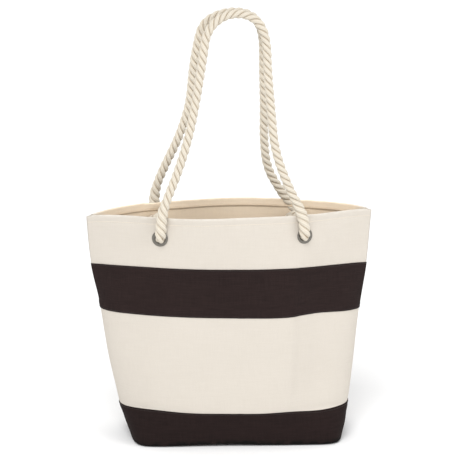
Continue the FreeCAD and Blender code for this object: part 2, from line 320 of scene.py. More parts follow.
def canvasMaterial(name):
    look = canvasLooks[name]
    material, tree, shader = startMaterial(name, 0.92, 0.15)
    cloth = newNode(tree, "ShaderNodeUVMap", uv_map="cloth").outputs[0]
    place = newNode(tree, "ShaderNodeTexCoord").outputs
    wearAndShadeAmount = newNode(tree, "ShaderNodeAttribute", attribute_name="wearAndShadeAmount").outputs["Fac"]
    weave = groupNode(tree, weaveGroup, Cloth=cloth, Slub=look["slub"], **canvasPitch)
    base = mixColours(tree, remap(tree, weave["Tone"], 0.0, 0.75), look["deep"], look["bright"])
    if "flecks" in look:
        specks = noiseNode(tree, cloth, 900.0, 2.0, 0.6)
        sparse = remap(tree, specks, 0.71, 0.76, 0.0, look["flecks"])
        base = mixColours(tree, sparse, base, look["fleck"])
    wearAndShadeMix = groupNode(tree, wearAndShadeGroup, Place=place["Object"], Fresh=base, Rubbed=look["wornAndShadedColour"], Rub=wearAndShadeAmount,
                     Patch_Size=70.0, Mottle=look["mottle"])
    colour = wearAndShadeMix["Colour"]
    # faces that look into the bag take a brighter, warmer colour: painted light, as if light shone through
    # the cloth
    if "inside" in look:
        inward = mathNode(tree, "MULTIPLY", separate(tree, place["Object"])[1],
                          separate(tree, place["Normal"])[1])
        paintedInsideLight = newNode(tree, "ShaderNodeVectorMath", colour, look["inside"], operation="MULTIPLY")
        colour = mixColours(tree, remap(tree, inward, -0.002, -0.012), colour, paintedInsideLight.outputs[0])
    tree.links.new(colour, shader.inputs["Base Color"])
    tree.links.new(remap(tree, wearAndShadeMix["Mask"], 0.0, 1.0, 0.94, 0.8), shader.inputs["Roughness"])
    bumpInto(tree, shader, weave["Height"], 0.00022, 0.8)
    return material


ropeLook = {
    # painted shade for the hollows between the strands
    "grooveShade": (0.43, 0.335, 0.225, 1),
    "deep": (0.60, 0.53, 0.425, 1),
    "bright": (0.735, 0.685, 0.59, 1),
    "wornAndShadedColour": (0.60, 0.54, 0.45, 1),
}


def ropeMaterial():
    material, tree, shader = startMaterial("cottonRope", 0.95, 0.1, 0.15)
    strand = newNode(tree, "ShaderNodeUVMap", uv_map="cloth").outputs[0]
    place = newNode(tree, "ShaderNodeTexCoord").outputs["Object"]
    out = newNode(tree, "ShaderNodeAttribute", attribute_name="outward").outputs["Fac"]
    wearAndShadeAmount = newNode(tree, "ShaderNodeAttribute", attribute_name="wearAndShadeAmount").outputs["Fac"]
    yarn = groupNode(tree, twistGroup, Strand=strand, Yarns=8.0, Twist=-31.0, Fuzz=0.7)
    face = mixColours(tree, remap(tree, yarn["Tone"], 0.0, 0.65), ropeLook["deep"], ropeLook["bright"])
    # where a strand's surface lies close to the rope's core it takes the painted groove shade
    base = mixColours(tree, remap(tree, out, 0.60, 0.90), ropeLook["grooveShade"], face)
    wearAndShadeMix = groupNode(tree, wearAndShadeGroup, Place=place, Fresh=base, Rubbed=ropeLook["wornAndShadedColour"], Rub=wearAndShadeAmount,
                     Patch_Size=120.0, Mottle=0.14)
    tree.links.new(wearAndShadeMix["Colour"], shader.inputs["Base Color"])
    bumpInto(tree, shader, yarn["Height"], 0.0004, 0.7)
    return material


def threadMaterial(name, deep, bright, twist=900.0):
    material, tree, shader = startMaterial(name, 0.75, 0.25, 0.1)
    add, _, times = sums(tree)
    place = newNode(tree, "ShaderNodeTexCoord").outputs["Object"]
    parts = separate(tree, place)
    slope = add(parts[0], times(parts[2], 0.8))
    strand = combine(tree, times(slope, twist), parts[1])
    yarn = groupNode(tree, twistGroup, Strand=strand, Yarns=1.0, Twist=300.0, Fuzz=0.4)
    fresh = mixColours(tree, remap(tree, yarn["Tone"], 0.0, 0.6), deep, bright)
    wearAndShadeMix = groupNode(tree, wearAndShadeGroup, Place=place, Fresh=fresh, Rubbed=bright, Rub=0.2, Patch_Size=90.0,
                     Mottle=0.1)
    tree.links.new(wearAndShadeMix["Colour"], shader.inputs["Base Color"])
    bumpInto(tree, shader, yarn["Height"], 0.0001, 0.5)
    return material


def nickelMaterial():
    material, tree, shader = startMaterial("eyeletNickel", 0.28, 0.5, 0.0, 1.0)
    place = newNode(tree, "ShaderNodeTexCoord").outputs["Object"]
    brushed = noiseNode(tree, place, 900.0, 3.0, 0.7)
    fresh = mixColours(tree, brushed, (0.11, 0.105, 0.095, 1), (0.20, 0.19, 0.17, 1))
    wearAndShadeMix = groupNode(tree, wearAndShadeGroup, Place=place, Fresh=fresh, Rubbed=(0.34, 0.31, 0.26, 1), Rub=0.35,
                     Patch_Size=500.0, Mottle=0.1)
    tree.links.new(wearAndShadeMix["Colour"], shader.inputs["Base Color"])
    tree.links.new(remap(tree, brushed, 0.2, 0.8, 0.22, 0.4), shader.inputs["Roughness"])
    bumpInto(tree, shader, brushed, 0.00003, 0.4)
    return material


def floorMaterial():
    material, tree, shader = startMaterial("paleFloor", 0.9, 0.1)
    cloud = noiseNode(tree, newNode(tree, "ShaderNodeTexCoord").outputs["Object"], 3.0)
    tree.links.new(mixColours(tree, cloud, (0.96, 0.96, 0.96, 1), (0.98, 0.98, 0.98, 1)),
                   shader.inputs["Base Color"])
    return material


naturalCanvas = canvasMaterial("naturalCanvas")
darkCanvas = canvasMaterial("darkCanvas")
baseCanvas = canvasMaterial("baseCanvas")
cottonRope = ropeMaterial()
naturalThread = threadMaterial("naturalThread", (0.62, 0.53, 0.41, 1), (0.86, 0.79, 0.68, 1))
# a brighter copy of the natural thread for stitches inside the bag: painted light, to match the cloth's
# painted inside glow
insideLitThread = threadMaterial("insideLitThread", (0.80, 0.69, 0.54, 1), (0.96, 0.84, 0.68, 1))
darkThread = threadMaterial("darkThread", (0.010, 0.007, 0.007, 1), (0.030, 0.021, 0.020, 1))
overlockThread = threadMaterial("overlockThread", (0.60, 0.53, 0.43, 1), (0.84, 0.79, 0.70, 1), 1500.0)
eyeletNickel = nickelMaterial()
print("materials made")

# mesh helpers


def addPiece(name, points, faces, material, cloth=None, values=None, smooth=True):
    # cloth is a map position for each face corner, values a number for each point
    mesh = bpy.data.meshes.new(name)
    mesh.from_pydata([tuple(p) for p in points], [], [tuple(f) for f in faces])
    if cloth is not None:
        layer = mesh.uv_layers.new(name="cloth")
        layer.data.foreach_set("uv", np.asarray(cloth, np.float32).ravel())
    for label, numbers in (values or {}).items():
        attribute = mesh.attributes.new(label, "FLOAT", "POINT")
        attribute.data.foreach_set("value", np.asarray(numbers, np.float32).ravel())
    mesh.materials.append(material)
    mesh.polygons.foreach_set("use_smooth", [smooth] * len(mesh.polygons))
    mesh.update()
    piece = bpy.data.objects.new(name, mesh)
    scene.collection.objects.link(piece)
    return piece


def asPlainMesh(piece):
    # the modifiers' result takes the place of the mesh
    bpy.context.view_layer.update()
    seen = piece.evaluated_get(bpy.context.evaluated_depsgraph_get())
    mesh = bpy.data.meshes.new_from_object(seen)
    old = piece.data
    piece.modifiers.clear()
    piece.data = mesh
    mesh.name = piece.name
    if old.users == 0:
        bpy.data.meshes.remove(old)
    return piece


def gridFaces(rows, columns, flip=False, keep=None):
    found = []
    for r in range(rows - 1):
        for c in range(columns - 1):
            if keep is not None and not keep(r, c):
                continue
            a = r * columns + c
            corners = (a, a + 1, a + columns + 1, a + columns)
            found.append(corners[::-1] if flip else corners)
    return found


def tubeFaces(rings, sides, first=0):
    # quads between the rings of a tube, then its two end caps
    last = first + (rings - 1) * sides
    faces = [(a + j, a + (j + 1) % sides, a + (j + 1) % sides + sides, a + j + sides)
             for a in range(first, last, sides) for j in range(sides)]
    return faces + [tuple(range(first, first + sides))[::-1], tuple(range(last, last + sides))]


def lengthsAlong(line):
    return np.concatenate([[0], np.cumsum(np.linalg.norm(np.diff(line, axis=0), axis=1))])


def lineAt(at, along, line):
    return np.stack([np.interp(at, along, line[:, k]) for k in range(3)], 1)


def noiseAt(*coordinates):
    # smooth noise at many places; any of the three coordinates may be one number
    return np.array([noise.noise(place) for place in zip(*np.broadcast_arrays(*coordinates))])


def intoBag(piece, slot, *nodes):
    # the piece rides on the bag and stands in for these nodes
    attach(piece, "bag")
    if nodes:
        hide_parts(*nodes)
    return piece


def smoothStep(t):
    t = np.clip(t, 0, 1)
    return t * t * (3 - 2 * t)


def hump(t):
    return np.exp(-np.square(t))


def unit(v):
    return v / np.linalg.norm(v, axis=-1, keepdims=True)


# the bag's shape

bag = {
    "height": 0.382,
    # height above the floor, half length of the outline there, and its two powers
    "seams": [(0.0, 0.1725, 16, 0.28), (0.056, 0.189, 2.8, 0.5), (0.217, 0.2125, 2.6, 0.62),
              (0.297, 0.2255, 2.15, 0.9), (0.382, 0.233, 2, 1)],
    "mouthDepth": 0.137,
    "baseDepth": 0.144,
    "baseShift": 0.017,
    "cloth": 0.0014,
    # the bottom stands clear of the floor in the middle
    "archMiddle": -0.004,
    "archReach": 0.105,
    "archRise": 0.0032,
    "eyeletX": 0.1165,
    # the right side of the mouth stands a little higher
    "eyeletZ": {-1: 0.3458, 1: 0.3492},
}
fronts = {"front": -1, "back": 1}
ends = {"left": -1, "right": 1}


def halfLengthAt(z):
    seams = bag["seams"]
    last = len(seams) - 1
    slopes = []
    for i in range(len(seams)):
        low = seams[max(i - 1, 0)]
        high = seams[min(i + 1, last)]
        slopes.append((high[1] - low[1]) / (high[0] - low[0]))
    i = next((k for k in range(last) if z <= seams[k + 1][0]), last - 1)
    (z0, w0), (z1, w1) = seams[i][:2], seams[i + 1][:2]
    span = z1 - z0
    t = (z - z0) / span
    return (w0 * (2 * t**3 - 3 * t**2 + 1) + slopes[i] * span * (t**3 - 2 * t**2 + t)
            + w1 * (3 * t**2 - 2 * t**3) + slopes[i + 1] * span * (t**3 - t**2))


def planLine(z, inset, count=601):
    # one wall seen from above at one height: x, distance from the middle plane, and length along it
    share = min(max(z / bag["height"], 0), 1)
    heights = [seam[0] for seam in bag["seams"]]
    sharp = np.interp(z, heights, [seam[2] for seam in bag["seams"]])
    fall = np.interp(z, heights, [seam[3] for seam in bag["seams"]])
    half = halfLengthAt(z) - inset * (1 + share**2)
    deep = (bag["baseDepth"] * (1 - share) + bag["mouthDepth"] * share) / 2 - inset
    u = np.sin(np.linspace(-0.5, 0.5, count) * math.pi)
    x = bag["baseShift"] * (1 - share) ** 2 * (1 + share) + half * u
    y = deep * np.clip(1 - np.abs(u) ** sharp, 0, 1) ** fall
    along = np.concatenate([[0], np.cumsum(np.hypot(np.diff(x), np.diff(y)))])
    return x, y, along


def wallRow(side, z, inset, q):
    # points at equal shares of the length between the side seams, q from -1 to 1
    x, y, along = planLine(z, inset)
    at = (np.asarray(q) + 1) / 2 * along[-1]
    return np.stack([np.interp(at, along, x), side * np.interp(at, along, y), np.full(len(at), z)], 1)


def wallNormals(side, z, inset, q):
    step, nudge = 0.001, 0.004
    low = max(z - step, 0)
    high = min(z + step, bag["height"])
    rise = wallRow(side, high, inset, q) - wallRow(side, low, inset, q)
    aside = wallRow(side, z, inset, np.minimum(q + nudge, 1))
    aside -= wallRow(side, z, inset, np.maximum(q - nudge, -1))
    return unit(np.cross(aside, rise)) * -side


def eyeletPlace(side, end):
    # centre on the wall's outer face and the way it faces
    step = 0.0005
    x = end * bag["eyeletX"]
    z = bag["eyeletZ"][end]

    def depthAt(px, pz):
        lineX, lineY, _ = planLine(pz, 0, 2401)
        return float(np.interp(px, lineX, lineY))

    slopeX = (depthAt(x + step, z) - depthAt(x - step, z)) / (2 * step)
    slopeZ = (depthAt(x, z + step) - depthAt(x, z - step)) / (2 * step)
    outward = np.array([-slopeX, 1, -slopeZ])
    outward /= np.linalg.norm(outward)
    outward[1] *= side
    return np.array([x, side * depthAt(x, z), z]), outward


eyelets = {(s, e): eyeletPlace(fronts[s], ends[e]) for s in fronts for e in ends}

drape = {
    "front": {
        "seed": 3.0,
        "sway": 0.0016,
        # soft upright folds: x at the middle, lean, width left, width right, height, z from, z to
        "folds": [
            (0.097, 0.035, 0.055, 0.012, 0.0046, 0.02, 0.33),
            (0.152, 0.02, 0.034, 0.045, -0.0095, 0.02, 0.34),
            (-0.190, 0.06, 0.028, 0.030, 0.0050, 0.06, 0.33),
            (0.148, 0.0, 0.007, 0.010, 0.0013, 0.325, 0.400),
            (-0.050, -0.05, 0.060, 0.050, 0.0016, -0.02, 0.24),
        ],
    },
    "back": {
        "seed": 11.0,
        "sway": 0.0018,
        "folds": [
            (-0.085, 0.05, 0.024, 0.050, 0.0040, 0.03, 0.30),
            (0.165, -0.05, 0.030, 0.016, 0.0020, 0.06, 0.33),
            (0.030, 0.04, 0.060, 0.060, 0.0018, -0.02, 0.26),
        ],
    },
}
surface = {
    # unevenness: how close together along and up, and the fine one's height
    "coarse": (8.0, 6.5),
    "fine": (26.0, 19.0, 0.00045),
    # slack above the floor: height, reach, how far out
    "slack": (0.03, 0.016, 0.0016),
    # a line of stitches: reach, how close its puckers are, how deep, how far it draws in
    "seam": (0.0075, 95.0, 0.00055, 0.0004),
    "hem": (0.0035, 80.0, 0.0004, 0.00055),
    "hemStep": 0.0003,
    # flat cloth round an eyelet: radius, then how soon the folds come back
    "seat": (0.014, 0.022),
    # the rope presses the mouth in: depth, half width, from which height, over what height
    "press": (0.0022, 0.0105, 0.3655, 0.014),
    # and the cloth bulges beside it: height, how far aside, half width, from which height, over what
    "bulge": (0.0010, 0.019, 0.008, 0.362, 0.02),
}
sewing = {
    "hemRow": 0.0115,
    "hemDepth": 0.0145,
    "stitch": 0.0033,
    "spacing": 0.0038,
    "thread": 0.00032,
    "edgeRow": 0.0022,
    # how far a row runs out to the side seams, its points, how many radii the thread's middle
    # stands off the cloth, and how proud the cloth is along a dark strip's edge
    "reach": 0.985,
    "points": 380,
    "lift": 0.4,
    "onDark": 0.00095,
}
hang = {
    "mouthCorners": -0.0068,
    "mouthTilt": 0.0042,
    "mouthRipple": 0.0008,
    "stripeTilt": -0.0030,
    "topSeam": (0.0007, 0.0030),
    # seam height, where along it from -1 to 1, half width, reach up and down, rise
    "waves": [
        (0.217, 0.60, 0.25, 0.060, 0.0030), (0.056, 0.55, 0.30, 0.050, 0.0020),
        (0.056, -0.66, 0.22, 0.040, 0.0028), (0.056, 0.15, 0.20, 0.040, -0.0010),
        (0.297, 0.62, 0.22, 0.030, -0.0018), (0.056, 0.62, 0.22, 0.030, -0.0018),
    ],
}


def relief(sideName, points, q):
    # how far the cloth stands out of the smooth shape
    x, z = points[:, 0], points[:, 2]
    cloth = drape[sideName]
    seed = cloth["seed"]
    along, up = surface["coarse"]
    out = noiseAt(x * along, z * up, seed) * cloth["sway"]
    along, up, height = surface["fine"]
    out += noiseAt(x * along, z * up, seed + 5) * height
    for middle, lean, left, right, height, low, high in cloth["folds"]:
        off = x - middle - lean * (z - 0.2)
        width = np.where(off < 0, left, right)
        band = smoothStep((z - low) / 0.09) * (1 - smoothStep((z - high + 0.09) / 0.09))
        out += height * hump(off / width) * band
    middle, reach, height = surface["slack"]
    out += height * hump((z - middle) / reach) * (1 - np.abs(q) ** 8)
    hem = bag["height"] - sewing["hemRow"]
    rows = [(seam[0], seam[0] * 50, seed + 2, surface["seam"]) for seam in bag["seams"][1:-1]]
    for row, place, chance, (reach, close, pucker, draw) in rows + [(hem, 3.3, seed + 8, surface["hem"])]:
        out += hump((z - row) / reach) * (noiseAt(x * close, place, chance) * pucker - draw)
    out += smoothStep((z - hem) / 0.004) * surface["hemStep"]
    # nothing moves at the side seams, and the eyelet's seat stays where it is
    out *= 1 - np.abs(q) ** 30
    for (name, end), (centre, _) in eyelets.items():
        if name != sideName:
            continue
        seat, fade = surface["seat"]
        out *= smoothStep((np.hypot(x - centre[0], z - centre[2]) - seat) / fade)
        deep, width, low, over = surface["press"]
        out -= deep * hump((x - centre[0] - ends[end] * 0.0005) / width) * smoothStep((z - low) / over)
        height, aside, width, low, over = surface["bulge"]
        out += height * hump((np.abs(x - centre[0]) - aside) / width) * smoothStep((z - low) / over)
    return out


def archLift(x):
    return bag["archRise"] * hump((x - bag["archMiddle"]) / bag["archReach"] * 1.4)


def settle(points, q):
    # how far the cloth's threads sit above or below their even heights
    x, z = points[:, 0], points[:, 2]
    lift = hang["mouthCorners"] * np.abs(q) ** 6 * smoothStep((z - 0.20) / 0.18)
    lift += hang["mouthTilt"] * q * smoothStep((z - 0.30) / 0.08)
    lift += hang["mouthRipple"] * np.sin(x * 31 + 0.6) * smoothStep((z - 0.33) / 0.05)
    lift += hang["stripeTilt"] * q * hump((z - 0.217) / 0.055)
    middle, corners = hang["topSeam"]
    lift += (middle - corners * np.abs(q) ** 3) * hump((z - 0.297) / 0.040)
    for seam, place, width, reach, rise in hang["waves"]:
        lift += rise * hump((q - place) / width) * hump((z - seam) / reach)
    return lift + archLift(x) * (1 - smoothStep(z / 0.075))


def clothRow(sideName, z, inset, q, proud=0.0):
    # the draped cloth at one height: points and the way they face
    side = fronts[sideName]
    q = np.asarray(q, float)
    base = wallRow(side, z, inset, q)
    facing = wallNormals(side, z, inset, q)
    points = base + facing * (relief(sideName, base, q) + proud)[:, None]
    points[:, 2] += settle(base, q)
    for (name, _), (centre, outward) in eyelets.items():
        if name != sideName:
            continue
        away = np.hypot(points[:, 0] - centre[0], points[:, 2] - centre[2])
        seat = 1 - smoothStep((away - 0.0135) / 0.012)
        gap = (points - centre) @ outward + inset - proud
        points -= outward * (gap * seat)[:, None]
    return points, facing


print("shape ready")

# ropes

ropes = {
    "diameter": 0.014,
    "lay": 0.036,
    "strandCentre": 0.00385,
    "strandRadius": 0.00350,
    "sides": 32,
    "yarns": 8,
    "step": 0.0016,
    "unevenness": 0.035,
    "yarnRidge": 0.045,
    "yarnLay": 0.032,
    "flattened": 0.10,
    "swell": 0.25,
    "squeeze": 0.02,
    "rubAtEyelets": 0.5,
    "rubInHand": 0.3,
    # where a handle's line starts in its eyelets, leaves them and turns up, and where it bends
    "inEyelet": (0.009, 0.001),
    "standsOff": 0.0085,
    "bend": (0.0616, 0.350, 0.396),
}
handles = {
    "front": {
        "route": [
            (-0.1162, -0.0625, 0.358), (-0.1155, -0.0600, 0.378), (-0.1105, -0.0585, 0.402),
            (-0.0890, -0.0505, 0.454), (-0.0708, -0.041, 0.514), (-0.0585, -0.0295, 0.580),
            (-0.0500, -0.0205, 0.634), (-0.0440, -0.0135, 0.676), (-0.019, -0.0092, 0.699),
            (0.012, -0.0082, 0.7035), (0.038, -0.0098, 0.692), (0.0515, -0.015, 0.664),
            (0.0535, -0.024, 0.610), (0.0597, -0.0345, 0.548), (0.0650, -0.0445, 0.490),
            (0.0845, -0.053, 0.437), (0.1030, -0.0585, 0.402), (0.1128, -0.0600, 0.380),
            (0.1150, -0.0625, 0.360),
        ],
        "startTurn": 0.4,
    },
    "back": {
        "route": [
            (-0.1175, 0.0605, 0.358), (-0.1180, 0.0595, 0.378), (-0.1160, 0.0575, 0.404),
            (-0.1015, 0.052, 0.442), (-0.0795, 0.0435, 0.492), (-0.0640, 0.034, 0.548),
            (-0.0620, 0.0255, 0.600), (-0.056, 0.0175, 0.650), (-0.0480, 0.0115, 0.684),
            (-0.019, 0.009, 0.7005), (0.014, 0.0082, 0.703), (0.038, 0.0098, 0.691),
            (0.0500, 0.0155, 0.663), (0.0520, 0.025, 0.608), (0.0565, 0.036, 0.545),
            (0.0580, 0.0455, 0.487), (0.0650, 0.0535, 0.438), (0.0860, 0.058, 0.401),
            (0.1060, 0.0597, 0.378), (0.1140, 0.0605, 0.358),
        ],
        "startTurn": 1.9,
    },
}


def splineLine(name, route):
    # points along the smooth NURBS line that the route's points steer
    curve = bpy.data.curves.new(name, "CURVE")
    curve.dimensions = "3D"
    spline = curve.splines.new("NURBS")
    spline.points.add(len(route) - 1)
    for point, place in zip(spline.points, route):
        point.co = (*place, 1)
    spline.order_u = 3
    spline.use_endpoint_u = True
    spline.resolution_u = 24
    holder = bpy.data.objects.new(name, curve)
    scene.collection.objects.link(holder)
    bpy.context.view_layer.update()
    mesh = bpy.data.meshes.new_from_object(holder)
    line = np.array([v.co for v in mesh.vertices])
    bpy.data.objects.remove(holder)
    bpy.data.curves.remove(curve)
    bpy.data.meshes.remove(mesh)
    return line


def evenly(line, step):
    runs = np.linalg.norm(np.diff(line, axis=0), axis=1)
    line = line[np.concatenate([[True], runs > 1e-7])]
    along = lengthsAlong(line)
    at = np.linspace(0, along[-1], int(round(along[-1] / step)) + 1)
    return lineAt(at, along, line), at


def framesAlong(line):
    # tangents with two cross directions that never spin round the line
    tangents = unit(np.gradient(line, axis=0))
    first = np.cross(tangents[0], (0.0, 0.0, 1.0))
    if np.linalg.norm(first) < 0.1:
        first = np.cross(tangents[0], (1.0, 0.0, 0.0))
    normals = [first / np.linalg.norm(first)]
    for t in tangents[1:]:
        n = normals[-1] - t * (normals[-1] @ t)
        normals.append(n / np.linalg.norm(n))
    normals = np.array(normals)
    return tangents, normals, np.cross(tangents, normals)


def layRope(name, line, startTurn, lay=ropes["lay"], scale=1.0, swell=None):
    # three strands laid left-handed round the line, each with its own yarns
    line, at = evenly(line, ropes["step"])
    tangents, normals, binormals = framesAlong(line)
    size = np.full(len(line), scale) if swell is None else scale * swell(at)
    sides = ropes["sides"]
    angle = np.arange(sides) / sides * 2 * math.pi
    ridges = 1 + ropes["yarnRidge"] * np.cos(
        ropes["yarns"] * (angle[None, :] + 2 * math.pi * at[:, None] / ropes["yarnLay"]))
    # strands are flattened where they press on each other
    press = 1 - ropes["flattened"] * smoothStep((-np.cos(angle) - 0.1) / 0.9)
    fromEnd = np.minimum(at, at[-1] - at)
    wearAndShadeHere = ropes["rubAtEyelets"] * hump(fromEnd / 0.030)
    wearAndShadeHere += ropes["rubInHand"] * hump((at - at[-1] / 2) / 0.09)
    spots = [(u / sides, at[i + v]) for i in range(len(at) - 1) for j in range(sides)
             for u, v in ((j, 0), (j + 1, 0), (j + 1, 1), (j, 1))]
    spots += [(0.5, at[0])] * sides + [(0.5, at[-1])] * sides
    points, faces, outward = [], [], []
    for k in range(3):
        phi = startTurn - 2 * math.pi * at / lay + 2 * math.pi * k / 3
        radial = np.cos(phi)[:, None] * normals + np.sin(phi)[:, None] * binormals
        centre = line + radial * (ropes["strandCentre"] * size)[:, None]
        along = unit(np.gradient(centre, axis=0))
        radial = unit(radial - along * np.sum(radial * along, axis=1)[:, None])
        beside = np.cross(along, radial)
        uneven = noiseAt(at * 45.0, k * 9.1, len(name) * 1.7)
        reach = ropes["strandRadius"] * size * (1 + ropes["unevenness"] * uneven)
        r = reach[:, None] * ridges * press[None, :]
        ring = (centre[:, None, :] + (r * np.cos(angle))[..., None] * radial[:, None, :]
                + (r * np.sin(angle))[..., None] * beside[:, None, :])
        away = np.linalg.norm(ring - line[:, None, :], axis=2)
        outward.append((away / ((ropes["strandCentre"] + ropes["strandRadius"]) * size)[:, None]).ravel())
        points.append(ring.reshape(-1, 3))
        faces += tubeFaces(len(line), sides, k * len(line) * sides)
    wearAndShadeAmount = np.tile(np.repeat(wearAndShadeHere, sides), 3)
    piece = addPiece(name, np.concatenate(points), faces, cottonRope, spots * 3,
                     {"outward": np.concatenate(outward), "wearAndShadeAmount": wearAndShadeAmount})
    return piece, line, at


def swellNearEyelets(at):
    # the rope opens up a little just after it has bent out of its eyelets
    fromEnd = np.minimum(at, at[-1] - at)
    soft = smoothStep((fromEnd - 0.013) / 0.014) * (1 - smoothStep((fromEnd - 0.050) / 0.035))
    squeeze = 1 - smoothStep((fromEnd - 0.008) / 0.008)
    return 1 + ropes["swell"] * soft - ropes["squeeze"] * squeeze


knots = {
    "depth": 0.0170,
    "sag": 0.003,
    "scale": 0.93,
    "lay": 0.034,
    # aside, down, out of the bag: from the eyelet in, round the core and down into the tail
    "route": [
        (0, 0, 0.012), (0, 0, 0.004), (0, -0.001, -0.006), (-0.003, -0.010, -0.0085),
        (0.004, -0.0125, -0.0085), (0.0115, -0.006, -0.0080), (0.0120, 0.004, -0.0075),
        (0.0060, 0.0120, -0.0065), (-0.005, 0.0125, -0.005), (-0.0120, 0.0055, -0.003),
        (-0.0122, -0.005, -0.0005), (-0.0055, -0.0123, 0.002), (0.0055, -0.0123, 0.0042),
        (0.0120, -0.005, 0.0058), (0.0122, 0.006, 0.0058), (0.0095, 0.016, 0.0040),
        (0.0040, 0.024, 0.0015), (0.0005, 0.031, 0.0), (0, 0.038, 0), (0, 0.0440, 0),
    ],
}
whipping = {"aboveEnd": 0.005, "length": 0.010, "turns": 15, "perTurn": 28, "radius": 0.00645,
            "thread": 0.00038, "sides": 6}


def tieKnot(key):
    centre, outward = eyelets[key]
    middle = centre - outward * knots["depth"]
    down = np.array([0.0, 0.0, -1.0])
    aside = np.cross(down, outward)
    aside /= np.linalg.norm(aside)
    if key[0] == "back":
        aside = -aside
    # the rope's weight pulls the knot a little below its eyelet
    route = [middle + a * aside + (d + knots["sag"] * (n < 0.002 or d > 0.01)) * down + n * outward
             for a, d, n in knots["route"]]
    line = splineLine("knotLine", route)
    piece, line, at = layRope(f"{key[0]}_{key[1]}_stopper_knot", line,
                              1.1 * (1 + ends[key[1]]) + fronts[key[0]], knots["lay"], knots["scale"])
    return intoBag(piece, "cotton_rope", f"{key[0]}_{key[1]}_knot"), line, at


def whipTail(key, line, at):
    # thread wound round the tail above its cut end
    tail = at[-1] - at
    low = whipping["aboveEnd"]
    span = line[(tail >= low - 0.001) & (tail <= low + whipping["length"] + 0.001)][::-1]
    tangents, normals, binormals = framesAlong(span)
    length = lengthsAlong(span)
    share = np.linspace(0, 1, whipping["turns"] * whipping["perTurn"] + 1)
    place, normal, binormal = (lineAt(share * length[-1], length, way) for way in (span, normals, binormals))
    angle = (share * whipping["turns"] * 2 * math.pi)[:, None]
    coil = place + whipping["radius"] * (np.cos(angle) * unit(normal) + np.sin(angle) * unit(binormal))
    sides = whipping["sides"]
    tangents, normals, binormals = framesAlong(coil)
    turn = (np.arange(sides) / sides * 2 * math.pi)[None, :, None]
    rings = coil[:, None, :] + whipping["thread"] * (np.cos(turn) * normals[:, None, :]
                                                     + np.sin(turn) * binormals[:, None, :])
    piece = addPiece(f"{key[0]}_{key[1]}_whipping_thread", rings.reshape(-1, 3), tubeFaces(len(coil), sides),
                     naturalThread)
    return intoBag(piece, "whipping_thread", f"{key[0]}_{key[1]}_whipping")


def makeHandle(sideName):
    handle = handles[sideName]
    leftAt, leftOut = eyelets[sideName, "left"]
    rightAt, rightOut = eyelets[sideName, "right"]
    deep, shallow = ropes["inEyelet"]
    forward = np.array([0, fronts[sideName] * ropes["standsOff"], 0.0005])
    route = [leftAt - leftOut * deep, leftAt + leftOut * shallow, leftAt + forward, *handle["route"],
             rightAt + forward, rightAt + rightOut * shallow, rightAt - rightOut * deep]
    line = splineLine(f"{sideName}Line", route)
    piece, path, at = layRope(f"{sideName}_rope_handle", line, handle["startTurn"], swell=swellNearEyelets)
    print(sideName, "rope along its line:", round(float(at[-1]), 4), "m")
    return piece, path, float(at[-1])


for sideName, side in fronts.items():
    rope, path, length = makeHandle(sideName)
    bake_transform(rope)
    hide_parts(f"{sideName}_handle_rope")
    company = []
    for endName in ends:
        knot, line, at = tieKnot((sideName, endName))
        company += [knot, whipTail((sideName, endName), line, at)]
print("ropes laid, knots tied")

# cloth strips

strips = {
    # low and high edge, and how far a pale strip laps under the dark ones beside it
    "top_panel": {"low": 0.297, "high": 0.382, "lapLow": 0.008, "canvas": naturalCanvas},
    "upper_stripe": {"low": 0.217, "high": 0.297, "canvas": darkCanvas},
    "middle_panel": {"low": 0.056, "high": 0.217, "lapLow": 0.008, "lapHigh": 0.008, "canvas": naturalCanvas},
    "base_band": {"low": 0.0, "high": 0.056, "canvas": baseCanvas},
}
grid = {"length": 0.484, "column": 0.0026, "row": 0.0026, "seamRoom": 0.0022}
darkStrip = {"thick": 0.0009, "sunk": 0.0006, "edge": 0.008, "fade": 0.006, "clear": 0.00005}
baseEdge = {"roll": 0.0030, "floor": 0.0006, "inward": (0.005, 0.0025, 0.0), "steps": 6}
hemFold = {"bend": 0.00078, "steps": 8, "rows": 9, "pressed": 1.7}
# the cloth turns in at each side seam: how far in from the tip, distance from the middle plane
turnIn = [(0.0004, 0.0012), (0.0013, 0.0009), (0.0030, 0.0008), (0.0060, 0.0008), (0.0125, 0.0008)]


def acrossShares():
    even = np.linspace(-1, 1, int(round(grid["length"] / grid["column"])) + 1)
    near = 1 - grid["seamRoom"] / (grid["length"] / 2)
    return np.concatenate([[-near], even[np.abs(even) < near - 0.003], [near]])


def withTurnedEnds(sideName, points, z, inset):
    # the cloth turns in at each side seam and runs on as the seam allowance
    tips = clothRow(sideName, z, inset, [-1, 1])[0]
    left, right = (np.array([(tip[0] - sign * i, fronts[sideName] * y, tip[2]) for i, y in turnIn])
                   for sign, tip in zip((-1, 1), tips))
    return np.concatenate([left[::-1], points, right])


def evenRows(low, high):
    return np.linspace(low, high, int(round((high - low) / grid["row"])) + 1)


def darkRows(kind, low, high):
    thick, sunk = darkStrip["thick"], darkStrip["sunk"]
    rows = []
    if kind == "base_band":
        roll, floor, steps = baseEdge["roll"], baseEdge["floor"], baseEdge["steps"]
        for inward in baseEdge["inward"]:
            rows.append((0.0, roll + inward + sunk, 0.0, -(roll * math.pi / 2) - inward, floor))
        for step in range(1, steps):
            angle = math.pi / 2 * (1 - step / steps)
            rows.append((roll * (1 - math.sin(angle)) + floor, sunk + roll * (1 - math.cos(angle)), 0.0,
                         -roll * angle, 0.0))
        low = roll + floor
    for z in evenRows(low, high):
        near = high - z if kind == "base_band" else min(high - z, z - low)
        edge = 1 - smoothStep((near - darkStrip["edge"]) / darkStrip["fade"])
        rows.append((z, 0.0, float(-sunk + edge * (sunk + thick / 2 + darkStrip["clear"])), z, 0.0))
    return rows


